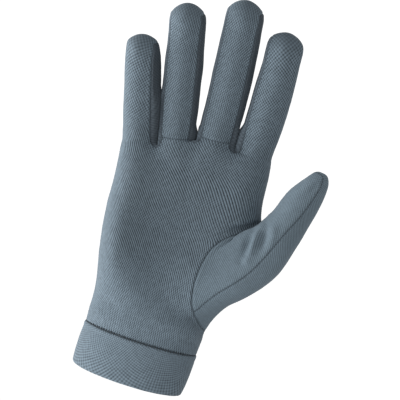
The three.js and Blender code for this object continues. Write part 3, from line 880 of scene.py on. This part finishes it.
def shell(name, points, faces, uv, normals, over, under, marks):
    """One panel as a mesh: its outside, its inside, and a turned edge all round. over and under say how far
    out the two lie from the glove's surface, and marks holds the values at each point that the cloth uses."""
    used, local = np.unique(faces, return_inverse=True)
    local = local.reshape(faces.shape)
    count = len(used)
    outer = points[used] + normals[used] * over[used, None]
    inner = points[used] + normals[used] * under[used, None]
    ends, owners = edge_table(local)
    rim = set(map(tuple, ends[owners[:, 1] < 0].tolist()))
    edge_faces, edge_uv = [], []
    for f, corners in enumerate(local.tolist()):
        for k in range(4):
            after = (k + 1) % 4
            a, b = corners[k], corners[after]
            if (min(a, b), max(a, b)) in rim:
                edge_faces.append((b, a, a + count, b + count))
                edge_uv.append((uv[f, after], uv[f, k], uv[f, k], uv[f, after]))
    all_faces = np.concatenate((local, local[:, ::-1] + count, np.array(edge_faces)))
    all_uv = np.concatenate((uv, uv[:, ::-1], np.array(edge_uv)))
    mesh = bpy.data.meshes.new(name)
    mesh.from_pydata(np.concatenate((outer, inner)).tolist(), [], all_faces.tolist())
    mesh.uv_layers.new(name="cloth").uv.foreach_set("vector", all_uv.reshape(-1).astype(np.float32))
    for key, values in marks.items():
        layer = mesh.attributes.new(key, "FLOAT", "POINT")
        layer.data.foreach_set("value", np.tile(values[used], 2).astype(np.float32))
    mesh.shade_smooth()
    return link(name, mesh)


def seam_runs(edges, wanted):
    """The points of the seams of one kind, in order along each seam."""
    near = {}
    for a, b, kind in edges:
        if kind == wanted:
            near.setdefault(a, []).append(b)
            near.setdefault(b, []).append(a)
    runs = []
    left = set(near)
    while left:
        run = []
        after = [min(left, key=lambda i: (len(near[i]), i))]
        while after:
            run.append(after[0])
            left.discard(after[0])
            after = [i for i in near[run[-1]] if i in left]
        if run[0] in near[run[-1]]:
            run.append(run[0])
        runs.append(run)
    return runs


def stitch_row(name, points, normals, runs, spacing, half, thick, lift):
    """Short threads laid across seams, each an arched tube with closed ends. They sink in at the glove's
    sides."""
    sides = 6
    steps = 6
    arch = 0.25
    ends = 0.35
    near = 0.5
    facing = 1.4
    all_points, all_faces = [], []
    for run in runs:
        at, up = points[run], normals[run]
        length = np.concatenate(([0], np.cumsum(np.linalg.norm(np.diff(at, axis=0), axis=1)))) / MM

        def along_run(values, place):
            return vector(*(np.interp(place, length, values[:, i]) for i in range(3)))

        count = max(int(length[-1] / spacing), 1)
        for place in (np.arange(count) + 0.5) * length[-1] / count:
            middle = along_run(at, place)
            out = unit(along_run(up, place))
            along = unit(along_run(at, place + near) - along_run(at, place - near))
            across = unit(np.cross(out, along))
            shown = lift * min(abs(out[1]) ** 2 * facing, 1)
            first = len(all_points)
            for k in range(steps + 1):
                turn = math.pi * k / steps
                core = middle + (across * -math.cos(turn) * half + out * (math.sin(turn) * arch + shown)) * MM
                girth = thick / 2 * mix(ends, 1, math.sin(turn))
                for side in range(sides):
                    angle = math.tau * side / sides
                    ring = out * math.cos(angle) + along * math.sin(angle)
                    all_points.append(core + ring * girth * MM)
            for k in range(steps):
                for side in range(sides):
                    a, b = first + k * sides + side, first + k * sides + (side + 1) % sides
                    all_faces.append((a, b, b + sides, a + sides))
            all_faces.append(tuple(first + side for side in range(sides))[::-1])
            all_faces.append(tuple(first + steps * sides + side for side in range(sides)))
    mesh = bpy.data.meshes.new(name)
    mesh.from_pydata([tuple(p) for p in all_points], [], all_faces)
    mesh.shade_smooth()
    return link(name, mesh)


def make_glove():
    """The panels by name, and the pieces that hold the threads."""
    points, faces, panel, uv, tips = glove_surface()
    normals = outward(points, faces)
    edges = seam_edges(faces, panel)
    kinds = seam_points(edges)
    panel_of_point = np.zeros(len(points), int)
    for i in range(4):
        panel_of_point[faces[:, i]] = panel
    nearest, away = nearest_seam(points, list(kinds))
    points = straighten_thenar(points, kinds, nearest, away)
    points = close_crotches(points, panel_of_point, away)
    points, away = gather_to_seams(points, nearest, away)
    rise, dark = seam_relief(points, kinds, nearest, away)
    seams_left = 1 - SEAMS_LOST_AT_TIPS * near_tips(points, tips, "seams")
    rise, dark = rise * seams_left, dark * seams_left
    rise += fold_relief(points, normals, panel_of_point, away) + soft_relief(points)
    pressed = points + normals * rise[:, None]
    directions = outward(pressed, faces)
    # The cloth's colour is scaled by painted shade in the seams' grooves, at the fingertips and across the
    # middle of the palm, and by painted light on the front of the wrist
    painted_shading = painted_cloth_shading(points, directions, tips, dark)
    # The side strips' colour gets painted light where they face the little finger's side and painted shade
    # where they face the thumb's side
    strips = painted_shading * painted_strip_shading(directions)
    marks = {"crossing": crossing(points), "smooth": near_tips(points, tips, "smooth")}
    ends, owners = edge_table(faces)
    _, from_mouth = nearest_seam(points, np.unique(ends[owners[:, 1] < 0]).tolist())
    turned = rounded_edge(from_mouth * MM, HEM_WALL)
    pieces = {}
    for number, name in enumerate(PANELS):
        mine = panel == number
        if number == CUFF:
            over, under = HEM_STEP - turned, HEM_STEP - HEM_WALL + turned
        else:
            over, under = np.zeros(len(points)), np.full(len(points), -WALL)
        marks["painted_shading"] = strips if name.startswith("fourchette") else painted_shading
        pieces[name] = shell(name, pressed, faces[mine], uv[mine], directions, over, under, marks)
    threads = [
        stitch_row(f"{kind}_stitches", pressed, directions, seam_runs(edges, kind), **sizes)
        for kind, sizes in STITCHES.items()
    ]
    return pieces, threads


class Nodes:
    """Builds a node tree in short calls."""

    def __init__(self, tree):
        self.tree = tree

    def new(self, kind, inputs=(), **settings):
        node = self.tree.nodes.new("ShaderNode" + kind)
        for key, value in settings.items():
            setattr(node, key, value)
        for key, value in dict(inputs).items():
            self.join(value, node.inputs[key])
        return node

    def join(self, value, socket):
        if isinstance(value, bpy.types.NodeSocket):
            self.tree.links.new(value, socket)
        else:
            socket.default_value = value

    def math(self, operation, a, b=0.0, c=0.0):
        return self.new("Math", {0: a, 1: b, 2: c}, operation=operation).outputs[0]

    def vector_math(self, operation, inputs):
        return self.new("VectorMath", inputs, operation=operation).outputs[0]

    def scaled(self, vector_in, scale):
        return self.vector_math("SCALE", {0: vector_in, "Scale": scale})

    def noise(self, where, scale, detail=1.0, part="Fac"):
        inputs = {"Vector": where, "Scale": scale, "Detail": detail}
        return self.new("TexNoise", inputs).outputs[part]

    def mark(self, name):
        return self.new("Attribute", attribute_name=name).outputs["Fac"]


def material(name, settings):
    """A new material and its shader, with the given values set on the shader."""
    look = bpy.data.materials.new(name)
    look.use_nodes = True
    shader = look.node_tree.nodes["Principled BSDF"]
    for key, value in settings.items():
        shader.inputs[key].default_value = value
    return look, shader


CLOTH_SHADER = {
    "Roughness": 0.85,
    "Specular IOR Level": 0.25,
    "Sheen Weight": 0.12,
    "Sheen Roughness": 0.45,
    "Sheen Tint": (0.75, 0.85, 0.95, 1),
}


def knit(name, colour, stitch, slant, contrast):
    """A fine stretch knit. Its loops lie in two sets of slanting rows, of which the second shows as much as
    the mark called crossing says."""
    look, shader = material(name, CLOTH_SHADER)
    n = Nodes(look.node_tree)
    place = n.scaled(n.new("UVMap", uv_map="cloth").outputs["UV"], 1 / MM)
    wander = n.noise(place, KNIT["wander_scale"], 1.0, "Color")
    bend = n.vector_math("SUBTRACT", {0: wander, 1: (0.5, 0.5, 0.5)})
    bend = n.scaled(bend, KNIT["wander"])
    place = n.vector_math("ADD", {0: place, 1: bend})
    parts = n.new("SeparateXYZ", {0: place})
    across = n.math("MULTIPLY", parts.outputs[0], math.cos(math.radians(slant)) / stitch)
    along = n.math("MULTIPLY", parts.outputs[1], math.sin(math.radians(slant)) / stitch)
    rising, falling = n.math("ADD", across, along), n.math("SUBTRACT", across, along)
    patches = n.math("SUBTRACT", n.noise(place, KNIT["crossing_scale"]), 0.5)
    second = n.math("ADD", n.mark("crossing"), patches)
    second = n.math("MINIMUM", n.math("MAXIMUM", second, 0.0), 1.0)
    first = n.math("SUBTRACT", 1.0, second)
    rows = n.math("MULTIPLY", n.math("SINE", n.math("MULTIPLY", rising, math.tau)), first)
    rows = n.math("MULTIPLY_ADD", n.math("SINE", n.math("MULTIPLY", falling, math.tau)), second, rows)
    cell = n.new("CombineXYZ", {0: n.math("FLOOR", rising), 1: n.math("FLOOR", falling)}).outputs[0]
    loop = n.new("TexWhiteNoise", {"Vector": cell}, noise_dimensions="2D").outputs["Value"]
    relief = n.math("MULTIPLY_ADD", n.math("SUBTRACT", loop, 0.5), KNIT["loops"], rows)
    mottle = n.math("SUBTRACT", n.noise(place, KNIT["mottle_scale"], 3.0), 0.5)
    shown = n.math("MULTIPLY_ADD", n.mark("smooth"), -KNIT["lost_at_tips"] * contrast, contrast)
    light = n.math("MULTIPLY_ADD", relief, shown, 1.0)
    light = n.math("MULTIPLY_ADD", mottle, KNIT["mottle"], light)
    # The colour is scaled by the painted shade and painted light of the points
    light = n.math("MULTIPLY", light, n.mark("painted_shading"))
    n.join(n.scaled(colour, light), shader.inputs["Base Color"])
    bump = n.new("Bump", {"Strength": 0.6, "Distance": KNIT["height"] * MM, "Height": relief})
    n.join(bump.outputs[0], shader.inputs["Normal"])
    return look


def cloth_of(panel):
    """The name of the cloth that a panel is made of."""
    if panel.startswith("fourchette"):
        return "side_knit"
    if panel.startswith("thumb"):
        return "thumb_knit"
    return "cuff_knit" if panel == "cuff" else "knit"


def dress(pieces, threads):
    looks = {name: knit(name, **cloth) for name, cloth in CLOTHS.items()}
    thread, _ = material("thread", {"Base Color": (*THREAD, 1), "Roughness": 0.6})
    for name, piece in pieces.items():
        cloth = cloth_of(name)
        piece.data.materials.append(looks[cloth])
        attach(piece, "root")
        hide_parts(name)
    for piece in threads:
        piece.data.materials.append(thread)
        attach(piece, "root")


def studio():
    """White surroundings, soft light all round, and one broad light low at the little finger's side."""
    world = bpy.data.worlds.new("studio")
    bpy.context.scene.world = world
    world.use_nodes = True
    world.node_tree.nodes.clear()
    n = Nodes(world.node_tree)
    where = n.new("TexCoord").outputs["Generated"]
    towards = n.new("VectorMath", {0: where, 1: BROAD_LIGHT["from"]}, operation="DOT_PRODUCT")
    lobe = n.math("POWER", n.math("MAXIMUM", towards.outputs["Value"], 0.0), BROAD_LIGHT["narrow"])
    strength = n.math("MULTIPLY_ADD", lobe, BROAD_LIGHT["strength"], ROOM_LIGHT)
    lit, seen = (n.new("Background", {"Color": (1, 1, 1, 1), "Strength": light}).outputs[0]
                 for light in (strength, BACKDROP))
    path = n.new("LightPath").outputs["Is Camera Ray"]
    pick = n.new("MixShader", {0: path, 1: lit, 2: seen})
    n.new("OutputWorld", {"Surface": pick.outputs[0]})
    bpy.context.scene.view_settings.view_transform = "Standard"


def floor():
    """A wide pale floor, well below the glove."""
    half, sides = FLOOR["half"], FLOOR["sides"]
    ring = [(half * math.cos(t), half * math.sin(t), FLOOR["level"])
            for t in (math.tau * i / sides for i in range(sides))]
    mesh = bpy.data.meshes.new("floor")
    mesh.from_pydata(ring, [], [tuple(range(sides))])
    board = link("floor", mesh)
    look, _ = material("floor", {"Base Color": (0.9, 0.9, 0.9, 1), "Roughness": 0.9,
                                 "Emission Color": (1, 1, 1, 1), "Emission Strength": 0.5})
    mesh.materials.append(look)
    board.visible_diffuse = False
    board.visible_shadow = False


def camera():
    """The photograph's view: from the front, a little above, at a distance, with the glove leaning right."""
    data = bpy.data.cameras.new("camera")
    data.lens = CAMERA["lens"]
    data.sensor_width = CAMERA["sensor"]
    data.clip_end = 50
    eye = link("camera", data)
    rise, roll = math.radians(CAMERA["rise"]), math.radians(CAMERA["roll"])
    back = Vector((0, -math.cos(rise), math.sin(rise)))
    eye.location = Vector(CAMERA["at"]) + back * CAMERA["distance"]
    look = (-back).to_track_quat("-Z", "Y").to_matrix()
    eye.rotation_euler = (look @ Matrix.Rotation(roll, 3, "Z")).to_euler()
    bpy.context.scene.camera = eye


pieces, threads = make_glove()
camera()
studio()
floor()
dress(pieces, threads)
